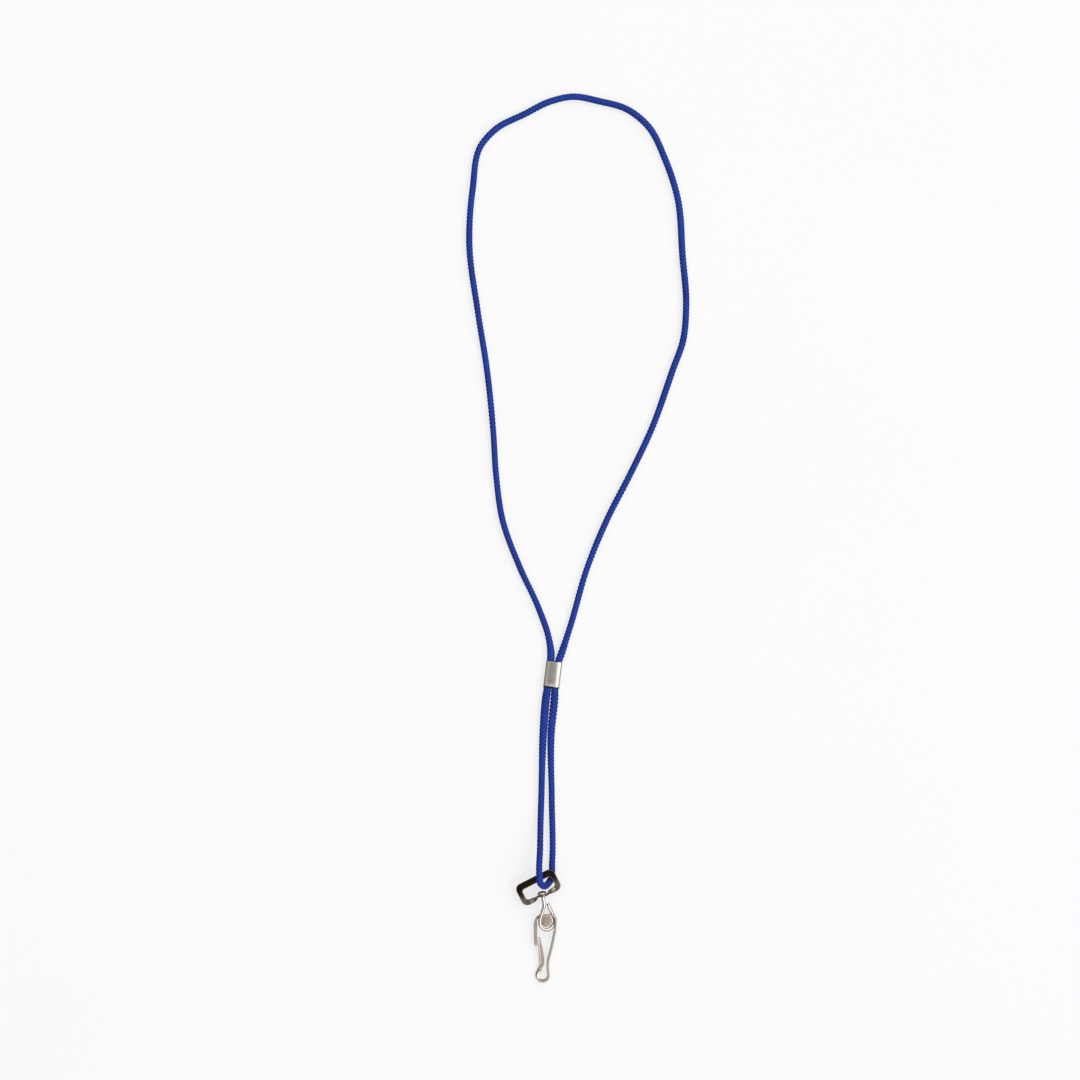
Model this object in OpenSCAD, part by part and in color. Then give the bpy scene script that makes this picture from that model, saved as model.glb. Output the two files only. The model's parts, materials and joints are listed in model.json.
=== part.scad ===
// Neck lanyard: one braided cord in a neck loop and a doubled drop, gathered by a crimped
// sleeve, with a swivel ring, a headed wire eye and a one-piece J hook on the drop.
// It lies flat on z = 0, with +Y towards the neck loop and +X to the wearer's left.

/* [Cord] */
// Diameter of the braided cord
cord_d = 3.2; // [3.0:0.1:3.2]
// Diameter of the cord where the sleeve squeezes it
cord_squeezed_d = 3.0; // [2.8:0.1:3.0]
// Sides of the plain tube that stands for the braid
cord_sides = 8; // [8:1:12]

/* [Crimp sleeve] */
// Width of the flattened sleeve across both strands
sleeve_w = 8.3; // [8.1:0.1:8.6]
// Length of the sleeve along the strands
sleeve_l = 14.2; // [12:0.1:16]
// Height of the flattened sleeve
sleeve_h = 4.0; // [4.0:0.1:4.4]
// Wall of the sleeve
sleeve_wall = 0.5; // [0.4:0.05:0.5]

/* [Swivel ring] */
// Outside width of the ring
ring_w = 22.1; // [21.5:0.1:22.5]
// Outside height of the ring
ring_h = 12.2; // [12:0.1:12.4]
// Width of the ring's top bar
top_w = 3.5; // [3.2:0.1:3.5]
// Width of the ring's side bars
side_w = 2.75; // [2.5:0.05:2.8]
// Width of the strip in the ring's lower bar
strip_w = 2.6; // [2.4:0.1:2.6]
// Thickness of the ring's strip
strip_t = 1.1; // [1.0:0.05:1.1]
// Diameter of the swivel hole
hole_d = 1.84; // [1.8:0.02:1.9]

/* [Swivel eye] */
// Diameter of the eye's wire
wire_d = 1.7; // [1.6:0.05:1.7]
// Diameter of the pin's head
head_d = 4.7; // [4:0.1:4.8]
// Thickness of the pin's head
head_t = 0.9; // [0.7:0.1:0.9]
// Radius of the eye's bowl, to the wire's centre
bowl_r = 4.45; // [4.4:0.05:4.5]
// Distance from the swivel hole to the bowl's centre
bowl_drop = 13.7; // [13.6:0.1:13.8]

/* [Hook] */
// Thickness of the hook's strip in the arm and the toe
hook_t = 1.4; // [1.2:0.05:1.4]
// Thickness of the strip where it is pressed flat: the arch, the disc, the finger and the gate
flat_t = 1.1; // [0.9:0.05:1.1]
// Width of the hook's strip in the arm and the toe
hook_w = 2.15; // [2.0:0.05:2.2]
// Width of the hook's strip in the arch that carries the eye
arch_w = 1.1; // [1.0:0.05:1.1]
// Radius of the flat disc inside the eye
disc_r = 3.2; // [3.0:0.05:3.2]
// Radius of the toe, to the strip's centre
toe_r = 2.95; // [2.9:0.05:3.0]

/* [Hidden] */
$fn = 40;

// Clearance between the pin's head and the ring's pad
head_clear = 0.3;
// How far the swaged head sits off the pin's axis
head_shift = 0.2;
// Clearance round the gate's root in its socket
root_clear = 0.06;
// How far pieces of one node run into each other to make one solid
join = 0.3;
// How much thinner the bowl is than its legs, so that their walls never coincide
bowl_inset = 0.02;
// How much the neck swells over the wire, where the leg leaves the shank
neck_swell = 0.12;

// Height of the cord's centreline where it lies on the table
lie = cord_d / 2;
// Height of the cord's centreline inside the sleeve
held = sleeve_h / 2;
thin = cord_squeezed_d;
full = cord_d;

// Centreline of the cord: x, y, z and local diameter. It starts in the middle of the sleeve,
// goes up the left strand, round the neck and down the right strand, back through the sleeve,
// down to the ring, through it from below, and up into the sleeve, where the two ends meet.
route = [
    [-15.1, -70.5, held, thin],
    [-14.3, -63.8, held, thin],
    [-14.1, -60.2, lie, full],
    [-15.2, -52, lie, full],
    [-20.2, -37, lie, full],
    [-30.7, -14, lie, full],
    [-39.1, 9, lie, full],
    [-42.6, 33, lie, full],
    [-44.1, 56, lie, full],
    [-47.4, 88, lie, full],
    [-52.2, 118.5, lie, full],
    [-56.5, 153, lie, full],
    [-54.7, 182, lie, full],
    [-50.2, 204.5, lie, full],
    [-42.9, 212.5, lie, full],
    [-27.8, 220.4, lie, full],
    [-14.3, 227, lie, full],
    [-3, 229.4, lie, full],
    [11.2, 227, lie, full],
    [25.5, 222.8, lie, full],
    [35.9, 214.6, lie, full],
    [45.3, 196.6, lie, full],
    [51.5, 177.5, lie, full],
    [54.2, 147, lie, full],
    [56.1, 120, lie, full],
    [54.4, 102.5, lie, full],
    [49.3, 88, lie, full],
    [38, 56.5, lie, full],
    [27, 33.3, lie, full],
    [14.9, 9.6, lie, full],
    [4.8, -15, lie, full],
    [-3.9, -45, lie, full],
    [-9, -60.6, lie, full],
    [-10.4, -64.4, held, thin],
    [-12.1, -77.8, held, thin],
    [-12.2, -81.5, lie, full],
    [-13.9, -99.5, lie, full],
    [-13.7, -135, lie, full],
    [-13.5, -168, lie, full],
    [-14.3, -177.6, 1.8, full],
    [-17.2, -180.2, 5, full],
    [-19.8, -178, 8.3, full],
    [-20.2, -173, 9.1, full],
    [-19.8, -161, 5.8, full],
    [-19.5, -147, 2.3, full],
    [-19.1, -134, lie, full],
    [-18, -99.5, lie, full],
    [-16.5, -81.5, lie, full],
    [-15.9, -77.4, held, thin],
    [-15.1, -70.8, held, thin],
];
// A stretch between two route points that is longer than this gets a ring in its middle
long_stretch = 15.5;

// Sleeve: its centre on the table and its lean from +Y
sleeve_at = [-13.2, -70.8];
sleeve_lean = 7;

// Ring: the middle of its top bar, its turn from +X and its slope down to the pin
bar_at = [-22.6, -176.9, 5.1];
ring_turn = 26.9;
ring_slope = 5;
ring_pitch = ring_h - (top_w + strip_w) / 2;
window_h = ring_h - top_w - strip_w;
ring_corner_r = 3.2;
ring_hole_corner_r = 1.4;
// Pad in the middle of the lower bar: twisted on edge, and bent square to the pin
pad_turn = 16.9;
boss_r = 1.7;
twist_from = 2.5;
twist_to = 4.8;

// Eye: its turn about the pin, so that its bowl passes over the hook on one side and under
// on the other, and the end of the shank where the bowl's first leg leaves it
eye_tilt = 29.4;
neck_y = -5.4;
// Place of the wire's cut end beside the neck
cut_at = [2.2, -5.3];

// Hook: the centre of its disc, and its slope down to the toe
hook_at = [-16.1, -198.4, 3];
hook_slope = 3.3;
// Outline of the hook in its own plane: each entry is x, y and half the width there
arm_line = [
    [4.5, 0.7, flat_t / 2],
    [4.45, -2.5, flat_t / 2],
    [4.25, -4.4, flat_t / 2],
    [3.9, -6.2, hook_t / 2],
    [2.9, -11.3, hook_t / 2],
    [1.4, -17.5, hook_t / 2],
    [0.55, -21.1, hook_t / 2],
    [0.4, -23.5, hook_t / 2],
    [0.75, -28.6, hook_t / 2],
];
// The arm has its full width from this point on, clear of the eye's wire
arm_wide_from = 2;
finger_line = [
    [-5.9, 0.3, 0.6],
    [-6.05, -0.9, 0.85],
    [-6, -3, 0.95],
    [-5.9, -8, 0.95],
    [-5.7, -12.2, 0.95],
];
gate_line = [
    [-3.3, -23.9, 1.05],
    [-2.95, -23, 1.2],
    [-2.75, -21.1, 1.35],
    [-2.85, -18.9, 1.35],
    [-3.1, -16.9, 1.25],
    [-3.4, -15, 1.15],
    [-3.7, -13, 1.05],
    [-3.85, -11, 0.85],
    [-4.1, -9.2, 0.68],
];
// Arch: two corners and a straight top, from the arm over the disc to the finger
arch_top = 2.85;
arch_right_r = 2.3;
arch_left_r = 3.4;
arch_left_sweep = 82;
// Toe: its centre and how far its strip wraps, from the arm round to the gate's root
toe_at = [-2.2, -28.6];
toe_sweep = 208;
toe_end = 360 - toe_sweep;
root_at = toe_at + toe_r * [cos(toe_end), sin(toe_end)];
root_r = hook_t / 2;

// ---- cord: a smooth curve through the route, with tangents weighted by the chords ----

function spot(i) = [route[i][0], route[i][1], route[i][2]];
function chord(i) = norm(spot(i + 1) - spot(i));
function heading(i) = (spot(i + 1) - spot(i)) / chord(i);
function lean(i) =
    i == 0 ? heading(0)
    : i == len(route) - 1 ? heading(i - 1)
    : (heading(i) * chord(i - 1) + heading(i - 1) * chord(i)) / (chord(i) + chord(i - 1));
function diameter_at(i, t) = route[i][3] * (1 - t) + route[i + 1][3] * t;
function free_curve(i, t) =
    spot(i) * (2 * pow(t, 3) - 3 * t * t + 1)
    + lean(i) * chord(i) * (pow(t, 3) - 2 * t * t + t)
    + spot(i + 1) * (3 * t * t - 2 * pow(t, 3))
    + lean(i + 1) * chord(i) * (pow(t, 3) - t * t);
// The curve as it lies: the table keeps its underside from going below z = 0
function on_curve(i, t) =
    let (p = free_curve(i, t))
    [p[0], p[1], max(p[2], diameter_at(i, t) / 2)];

last_point = len(route) - 1;
// Where the rings stand: the stretch's number and the share of it
stations = concat(
    [for (i = [0:last_point - 1], t = [0, 0.5]) if (t == 0 || chord(i) > long_stretch) [i, t]],
    [[last_point - 1, 1]]
);
centres = [for (s = stations) on_curve(s[0], s[1])];
radii = [for (s = stations) diameter_at(s[0], s[1]) / 2];

function unit(v) = v / norm(v);
function cord_ring(k) =
    let (
        before = centres[max(k - 1, 0)],
        after = centres[min(k + 1, len(centres) - 1)],
        along = unit(after - before),
        side = unit(cross(along, [0, 0, 1])),
        up = cross(side, along)
    )
    [for (a = [0:360 / cord_sides:359]) centres[k] + radii[k] * (cos(a) * side + sin(a) * up)];

module cord() {
    rings = len(centres);
    points = [for (k = [0:rings - 1]) each cord_ring(k)];
    walls = [for (k = [0:rings - 2], a = [0:cord_sides - 1])
        let (
            here = k * cord_sides,
            next = (a + 1) % cord_sides
        )
        [here + a, here + next, here + cord_sides + next, here + cord_sides + a]];
    start_cap = [for (a = [cord_sides - 1:-1:0]) a];
    end_cap = [for (a = [0:cord_sides - 1]) (rings - 1) * cord_sides + a];
    color("mediumblue")
        polyhedron(points, concat(walls, [start_cap, end_cap]), convexity = 10);
}

// ---- shapes that several pieces share ----

// A ribbon seen face on: points with half widths, joined into one outline
module ribbon(line) {
    n = len(line);
    function aim(i) = unit([for (c = [0:1]) line[min(i + 1, n - 1)][c] - line[max(i - 1, 0)][c]]);
    function edge(i, s) = [line[i][0], line[i][1]] + s * line[i][2] * [-aim(i)[1], aim(i)[0]];
    polygon(concat([for (i = [0:n - 1]) edge(i, 1)], [for (i = [n - 1:-1:0]) edge(i, -1)]));
}

// A rectangle with round corners, centred
module rounded_rect(w, h, r) {
    square([w - 2 * r, h], center = true);
    square([w, h - 2 * r], center = true);
    for (x = [-1, 1], y = [-1, 1])
        translate([x * (w / 2 - r), y * (h / 2 - r)]) circle(r);
}

// A slot shape: a square between two half circles
module oblong(w, h) {
    square([w - h, h], center = true);
    for (x = [-1, 1])
        translate([x * (w - h) / 2, 0]) circle(h / 2);
}

// A plate centred on its own plane
module plate(t) {
    translate([0, 0, -t / 2]) linear_extrude(t) children();
}

// A bent strip of thickness t and width w, from one angle through a sweep
module bend(r, t, w, from, sweep) {
    rotate([0, 0, from])
        rotate_extrude(angle = sweep)
            translate([r, 0]) square([t, w], center = true);
}

// A straight round wire from one point in the plane to a little beyond another
module wire(from, to) {
    way = to - from;
    translate([from[0], from[1], 0])
        rotate([0, 90, atan2(way[1], way[0])]) cylinder(h = norm(way) + join, d = wire_d);
}

// ---- frames: each child hangs in its parent's frame ----

module sleeve_frame() {
    translate([sleeve_at[0], sleeve_at[1], held]) rotate([0, 0, -sleeve_lean]) children();
}

module ring_frame() {
    translate(bar_at) rotate([0, 0, ring_turn]) rotate([ring_slope, 0, 0]) children();
}

module pin_frame() {
    ring_frame() translate([0, -ring_pitch, 0]) rotate([0, 0, -pad_turn]) children();
}

module hook_frame() {
    translate(hook_at) rotate([hook_slope, 0, 0]) children();
}

// ---- pieces ----

module crimp_sleeve() {
    color("silver") sleeve_frame()
        rotate([90, 0, 0]) translate([0, 0, -sleeve_l / 2])
            linear_extrude(sleeve_l)
                difference() {
                    oblong(sleeve_w, sleeve_h);
                    oblong(sleeve_w - 2 * sleeve_wall, sleeve_h - 2 * sleeve_wall);
                }
}

module swivel_ring() {
    slice = 0.2;
    color("dimgray") {
        ring_frame() {
            difference() {
                plate(strip_t)
                    difference() {
                        translate([0, (top_w - ring_h) / 2]) rounded_rect(ring_w, ring_h, ring_corner_r);
                        translate([0, -(top_w + window_h) / 2])
                            rounded_rect(ring_w - 2 * side_w, window_h, ring_hole_corner_r);
                    }
                translate([0, -ring_pitch, 0]) cube([2 * twist_to, 2 * strip_w, 2 * strip_w], center = true);
            }
            for (s = [-1, 1])
                hull() {
                    translate([s * twist_to, -ring_pitch, 0])
                        cube([slice, strip_w, strip_t], center = true);
                    translate([0, -ring_pitch, 0]) rotate([0, 0, -pad_turn])
                        translate([s * twist_from, 0, 0])
                            cube([slice, strip_t, strip_w], center = true);
                }
        }
        pin_frame() rotate([90, 0, 0])
            difference() {
                union() {
                    cylinder(h = strip_t, r = boss_r, center = true);
                    cube([2 * twist_from, strip_w, strip_t], center = true);
                }
                cylinder(h = 3 * strip_t, d = hole_d, center = true);
            }
    }
}

// Angle at which a straight line from a point meets the bowl, on one side of it
function tangent_angle(p, side) =
    let (way = p - [0, -bowl_drop])
    atan2(way[1], way[0]) + side * acos(bowl_r / norm(way));
function bowl_point(angle) = [0, -bowl_drop] + bowl_r * [cos(angle), sin(angle)];

module swivel_eye() {
    neck = [0, neck_y];
    left = tangent_angle(neck, 1);
    right = tangent_angle(cut_at, -1);
    head_y = strip_t / 2 + head_clear;
    color("gainsboro") pin_frame() rotate([0, eye_tilt, 0]) {
        translate([-head_shift, head_y, 0]) rotate([-90, 0, 0]) cylinder(h = head_t, d = head_d);
        translate([0, neck_y, 0]) rotate([-90, 0, 0]) cylinder(h = head_y - neck_y + join, d = wire_d);
        translate([neck[0], neck[1], 0]) sphere(d = wire_d + neck_swell);
        wire(neck, bowl_point(left));
        translate([0, -bowl_drop, 0]) rotate([0, 0, left])
            rotate_extrude(angle = 360 + right - left)
                translate([bowl_r, 0]) circle(d = wire_d - 2 * bowl_inset);
        wire(cut_at, bowl_point(right));
    }
}

module hook_body() {
    root_hole = root_r + root_clear;
    left_x = finger_line[0][0] + arch_left_r;
    right_x = arm_line[0][0] - arch_right_r;
    finger_end = finger_line[len(finger_line) - 1];
    color("rosybrown") hook_frame() {
        plate(flat_t) {
            circle(disc_r);
            ribbon(finger_line);
            translate([finger_end[0], finger_end[1]]) circle(finger_end[2]);
        }
        translate([(left_x + right_x) / 2, arch_top, 0])
            cube([right_x - left_x + join, flat_t, arch_w], center = true);
        translate([right_x, arch_top - arch_right_r, 0]) bend(arch_right_r, flat_t, arch_w, 0, 90);
        translate([left_x, arch_top - arch_left_r, 0])
            bend(arch_left_r, flat_t, arch_w, 90, arch_left_sweep);
        plate(arch_w) ribbon(arm_line);
        plate(hook_w) ribbon([for (i = [arm_wide_from:len(arm_line) - 1]) arm_line[i]]);
        difference() {
            translate([toe_at[0], toe_at[1], 0]) bend(toe_r, hook_t, hook_w, toe_end, toe_sweep);
            translate([root_at[0], root_at[1], 0])
                cylinder(h = 2 * hook_w, r = root_hole, center = true);
        }
    }
}

module hook_gate() {
    gate_foot = gate_line[0];
    gate_tip = gate_line[len(gate_line) - 1];
    color("tan") hook_frame() {
        translate([root_at[0], root_at[1], 0]) cylinder(h = hook_w, r = root_r, center = true);
        hull() {
            translate([root_at[0], root_at[1], 0]) cylinder(h = hook_w, r = root_r, center = true, $fn = 16);
            translate([gate_foot[0], gate_foot[1], 0])
                cylinder(h = flat_t, r = gate_foot[2], center = true, $fn = 16);
        }
        plate(flat_t) ribbon(gate_line);
        translate([gate_tip[0], gate_tip[1], 0]) cylinder(h = flat_t, r = gate_tip[2], center = true);
    }
}

cord();
crimp_sleeve();
swivel_ring();
swivel_eye();
hook_body();
hook_gate();
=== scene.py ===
"""A neck lanyard lying on a white table: royal blue braided cord, crimped sleeve, flat swivel ring,
headed wire eye and a J hook bent from one strip. Units are metres; MM turns millimetres into them."""

import json
import math

import bpy
import numpy as np
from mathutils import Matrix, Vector


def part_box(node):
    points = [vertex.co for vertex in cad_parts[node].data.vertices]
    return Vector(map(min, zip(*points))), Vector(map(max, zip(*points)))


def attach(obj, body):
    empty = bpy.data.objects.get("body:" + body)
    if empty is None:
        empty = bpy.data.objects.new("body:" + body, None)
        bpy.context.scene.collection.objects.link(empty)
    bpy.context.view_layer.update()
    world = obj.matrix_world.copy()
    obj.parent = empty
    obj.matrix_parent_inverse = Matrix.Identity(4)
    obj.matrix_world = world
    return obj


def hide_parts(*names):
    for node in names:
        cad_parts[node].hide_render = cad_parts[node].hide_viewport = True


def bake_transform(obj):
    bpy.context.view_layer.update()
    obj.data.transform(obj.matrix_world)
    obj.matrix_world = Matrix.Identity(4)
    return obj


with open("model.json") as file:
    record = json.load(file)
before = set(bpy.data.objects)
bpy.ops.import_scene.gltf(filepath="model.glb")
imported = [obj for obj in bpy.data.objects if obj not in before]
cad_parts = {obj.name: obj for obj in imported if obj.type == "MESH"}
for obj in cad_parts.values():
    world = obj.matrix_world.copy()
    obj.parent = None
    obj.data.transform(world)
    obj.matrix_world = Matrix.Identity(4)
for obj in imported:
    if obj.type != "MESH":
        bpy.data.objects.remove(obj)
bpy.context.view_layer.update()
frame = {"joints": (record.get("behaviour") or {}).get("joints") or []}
joints = {joint["name"]: joint for joint in frame["joints"]}

MM = 0.001
TAU = 2 * math.pi


# ---- small helpers ----

def unit(v):
    v = np.asarray(v, float)
    return v / np.linalg.norm(v)


def smooth(t):
    """Goes from 0 at t = 0 to 1 at t = 1 with level ends."""
    t = np.clip(t, 0.0, 1.0)
    return t * t * (3 - 2 * t)


class Placement:
    """An origin and three axes in the row's frame. Local coordinates are millimetres."""

    def __init__(self, origin, x, y, z):
        self.origin = np.asarray(origin, float)
        self.axes = np.array([unit(x), unit(y), unit(z)])

    def point(self, local):
        return self.origin + np.asarray(local, float) @ self.axes * MM

    def way(self, local):
        return np.asarray(local, float) @ self.axes


def add_mesh(name, points, faces, material, crease_deg=40):
    mesh = bpy.data.meshes.new(name)
    mesh.from_pydata(np.asarray(points, float).tolist(), [], faces)
    mesh.validate()
    mesh.polygons.foreach_set("use_smooth", [True] * len(mesh.polygons))
    mesh.set_sharp_from_angle(angle=math.radians(crease_deg))
    piece = bpy.data.objects.new(name, mesh)
    piece.data.materials.append(material)
    bpy.context.scene.collection.objects.link(piece)
    return piece


def skin_faces(rings, around, closed=False):
    """Quads between rings of equal length, and a flat cap on each open end."""
    faces = []
    for k in range(rings if closed else rings - 1):
        here = k * around
        there = (k + 1) % rings * around
        for a in range(around):
            b = (a + 1) % around
            faces.append((here + a, here + b, there + b, there + a))
    if not closed:
        faces.append(tuple(range(around - 1, -1, -1)))
        faces.append(tuple((rings - 1) * around + a for a in range(around)))
    return faces


def strip_section(half_w, half_t, edge, dish=0.0):
    """Outline of a flat strip with round edges: x runs across it and y through it. dish hollows its top."""
    outline = []
    flat_x = half_w - edge
    flat_y = half_t - edge
    corners = [(flat_x, flat_y, 0), (-flat_x, flat_y, 90), (-flat_x, -flat_y, 180), (flat_x, -flat_y, 270)]
    for x, y, start in corners:
        for step in range(5):
            a = math.radians(start + step * 22.5)
            outline.append((x + edge * math.cos(a), y + edge * math.sin(a)))
        if start in (0, 180):
            side = 1 if start == 0 else -1
            for step in range(1, 8):
                along = side * flat_x * (1 - step / 4)
                hollow = dish * math.cos(math.pi / 2 * along / flat_x) ** 2 if side == 1 else 0.0
                outline.append((along, side * half_t - hollow))
    return outline


def strip_rings(place, stations):
    """Rings of a strip. A station is (centre, across, up, half_w, half_t, edge, dish), in mm."""
    rings = []
    for centre, across, up, half_w, half_t, edge, dish in stations:
        across = unit(across)
        up = unit(up)
        for x, y in strip_section(half_w, half_t, edge, dish):
            rings.append(place.point(np.asarray(centre, float) + across * x + up * y))
    return rings


SECTION_POINTS = len(strip_section(1.0, 0.5, 0.2))


def hermite(points, steps):
    """A smooth curve through the points, with tangents weighted by the chords, as in the CAD cord."""
    points = np.asarray(points, float)
    chord = np.linalg.norm(np.diff(points[:, :3], axis=0), axis=1)
    heading = np.diff(points, axis=0) / chord[:, None]
    lean = np.empty_like(points)
    lean[0] = heading[0]
    lean[-1] = heading[-1]
    before, after = chord[:-1, None], chord[1:, None]
    lean[1:-1] = (heading[1:] * before + heading[:-1] * after) / (before + after)
    curve = []
    for i in range(len(points) - 1):
        t = np.linspace(0, 1, steps, endpoint=i == len(points) - 2)[:, None]
        curve.append(
            points[i] * (2 * t**3 - 3 * t**2 + 1)
            + lean[i] * chord[i] * (t**3 - 2 * t**2 + t)
            + points[i + 1] * (3 * t**2 - 2 * t**3)
            + lean[i + 1] * chord[i] * (t**3 - t**2)
        )
    return np.concatenate(curve)


def even_steps(curve, step):
    """The curve resampled at about the given spacing, and the distance along it at each sample."""
    gone = np.concatenate([[0], np.cumsum(np.linalg.norm(np.diff(curve[:, :3], axis=0), axis=1))])
    along = np.linspace(0, gone[-1], int(gone[-1] / step) + 1)
    samples = np.stack([np.interp(along, gone, curve[:, c]) for c in range(curve.shape[1])], axis=1)
    return samples, along


def tangents(centres):
    ways = np.gradient(centres, axis=0)
    return ways / np.linalg.norm(ways, axis=1)[:, None]


def transport(centres, start_up):
    """An up vector at each centre that turns no more than the curve makes it."""
    ways = tangents(centres)
    ups = np.empty_like(centres)
    up = np.asarray(start_up, float)
    for k, way in enumerate(ways):
        up = up - way * (up @ way)
        up = up / np.linalg.norm(up)
        ups[k] = up
    return ways, ups


# ---- materials ----

def new_material(name):
    material = bpy.data.materials.new(name)
    material.use_nodes = True
    nodes = material.node_tree.nodes
    shader = nodes["Principled BSDF"]
    return material, nodes, material.node_tree.links, shader


def node(nodes, kind, **values):
    made = nodes.new(kind)
    for key, value in values.items():
        setattr(made, key, value)
    return made


def map_range(nodes, links, source, low, high, from_low=0.0, from_high=1.0):
    made = node(nodes, "ShaderNodeMapRange")
    made.inputs["From Min"].default_value = from_low
    made.inputs["From Max"].default_value = from_high
    made.inputs["To Min"].default_value = low
    made.inputs["To Max"].default_value = high
    links.new(source, made.inputs["Value"])
    return made.outputs["Result"]


def mix_colour(nodes, links, share, first, second):
    made = node(nodes, "ShaderNodeMix", data_type="RGBA")
    sockets = [s for s in made.inputs if s.type == "RGBA"]
    for socket, value in zip(sockets, (first, second)):
        if isinstance(value, tuple):
            socket.default_value = (*value, 1)
        else:
            links.new(value, socket)
    links.new(share, made.inputs["Factor"])
    return [s for s in made.outputs if s.type == "RGBA"][0]


def noise(nodes, links, vector, scale, detail=2.0, rough=0.5):
    made = node(nodes, "ShaderNodeTexNoise")
    made.inputs["Scale"].default_value = scale
    made.inputs["Detail"].default_value = detail
    made.inputs["Roughness"].default_value = rough
    links.new(vector, made.inputs["Vector"])
    return made.outputs["Fac"]


def stretched(nodes, links, vector, scale):
    made = node(nodes, "ShaderNodeVectorMath", operation="MULTIPLY")
    made.inputs[1].default_value = scale
    links.new(vector, made.inputs[0])
    return made.outputs["Vector"]


# Blues of the braid: painted shade down in the gaps between the yarns, then the yarns' own two tones
BLUE_GAP_SHADE = (0.004, 0.010, 0.095)
BLUE_YARN = (0.010, 0.040, 0.31)
BLUE_CROWN = (0.013, 0.062, 0.46)
# How the threads' noise is stretched across, along and between the yarns
THREAD_STRETCH = (9.0, 1.1, 3.7)
# Noise detail of the patches, per metre
BRAID_PATCHES = 90.0
NICKEL_PATCHES = 420.0
# Dark colour of the painted shade in the sleeve's mouth and on its inner wall
PAINTED_SHADE_COLOUR = (0.02, 0.018, 0.018)


def braid_material():
    """Dyed polyester filament yarn: fine threads run along each yarn, with painted shade down in the gaps."""
    material, nodes, links, shader = new_material("braid")
    yarn = node(nodes, "ShaderNodeAttribute", attribute_name="yarn").outputs["Vector"]
    relief = node(nodes, "ShaderNodeAttribute", attribute_name="relief").outputs["Fac"]
    position = node(nodes, "ShaderNodeTexCoord").outputs["Object"]
    threads = noise(nodes, links, stretched(nodes, links, yarn, THREAD_STRETCH), 1.0, 3.0, 0.6)
    patches = noise(nodes, links, position, BRAID_PATCHES, 2.0)
    # Painted shade: the deeper a point lies between the yarns, the more of the dark gap blue it gets
    height = map_range(nodes, links, relief, 0.0, 1.0, 0.40, 0.90)
    thread_share = map_range(nodes, links, threads, 0.0, 1.0, 0.3, 0.7)
    yarn_colour = mix_colour(nodes, links, thread_share, BLUE_YARN, BLUE_CROWN)
    shaded = mix_colour(nodes, links, height, BLUE_GAP_SHADE, yarn_colour)
    worn = node(nodes, "ShaderNodeHueSaturation")
    links.new(shaded, worn.inputs["Color"])
    links.new(map_range(nodes, links, patches, 0.88, 1.12, 0.3, 0.7), worn.inputs["Value"])
    links.new(worn.outputs["Color"], shader.inputs["Base Color"])
    links.new(map_range(nodes, links, threads, 0.5, 0.72), shader.inputs["Roughness"])
    shader.inputs["Sheen Weight"].default_value = 0.06
    shader.inputs["Sheen Roughness"].default_value = 0.4
    shader.inputs["Sheen Tint"].default_value = (0.35, 0.45, 0.9, 1)
    shader.inputs["Specular IOR Level"].default_value = 0.2
    bump = node(nodes, "ShaderNodeBump")
    bump.inputs["Strength"].default_value = 0.6
    bump.inputs["Distance"].default_value = 0.05 * MM
    links.new(threads, bump.inputs["Height"])
    links.new(bump.outputs["Normal"], shader.inputs["Normal"])
    return material


def nickel_material(name, colour, tarnish, rough, grain, grain_depth, wear=None):
    """Nickel plate: tarnish in soft patches, uneven roughness and a grain of fine lines. An attribute on the
    mesh paints shade on it, and wear makes it duller along a way: the way, start, stop and what it adds."""
    material, nodes, links, shader = new_material(name)
    position = node(nodes, "ShaderNodeTexCoord").outputs["Object"]
    patches = noise(nodes, links, position, NICKEL_PATCHES, 3.0, 0.6)
    lines = noise(nodes, links, stretched(nodes, links, position, grain), 1.0, 2.0)
    tarnished = map_range(nodes, links, patches, 0.0, 1.0, 0.35, 0.75)
    tint = mix_colour(nodes, links, tarnished, colour, tarnish)
    # Painted shade: this attribute mixes a dark colour in where shade falls, in the sleeve's mouth and inside
    # it
    painted_shade = node(nodes, "ShaderNodeAttribute", attribute_name="painted_shade").outputs["Fac"]
    links.new(mix_colour(nodes, links, painted_shade, tint, PAINTED_SHADE_COLOUR), shader.inputs["Base Color"])
    roughness = map_range(nodes, links, patches, rough[0], rough[1], 0.3, 0.7)
    if wear:
        way, start, stop, added = wear
        along = node(nodes, "ShaderNodeVectorMath", operation="DOT_PRODUCT")
        along.inputs[1].default_value = way
        links.new(position, along.inputs[0])
        rubbed = node(nodes, "ShaderNodeMath", operation="ADD")
        links.new(roughness, rubbed.inputs[0])
        dulling = map_range(nodes, links, along.outputs["Value"], 0.0, added, start, stop)
        links.new(dulling, rubbed.inputs[1])
        roughness = rubbed.outputs["Value"]
    links.new(roughness, shader.inputs["Roughness"])
    shader.inputs["Metallic"].default_value = 1.0
    bump = node(nodes, "ShaderNodeBump")
    bump.inputs["Strength"].default_value = 0.35
    bump.inputs["Distance"].default_value = grain_depth * MM
    links.new(lines, bump.inputs["Height"])
    links.new(bump.outputs["Normal"], shader.inputs["Normal"])
    return material


# Glow of the table as the camera sees it, and as the metal mirrors it
TABLE_GLOW_SEEN = 0.70
TABLE_GLOW_MIRRORED = 0.04


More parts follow.
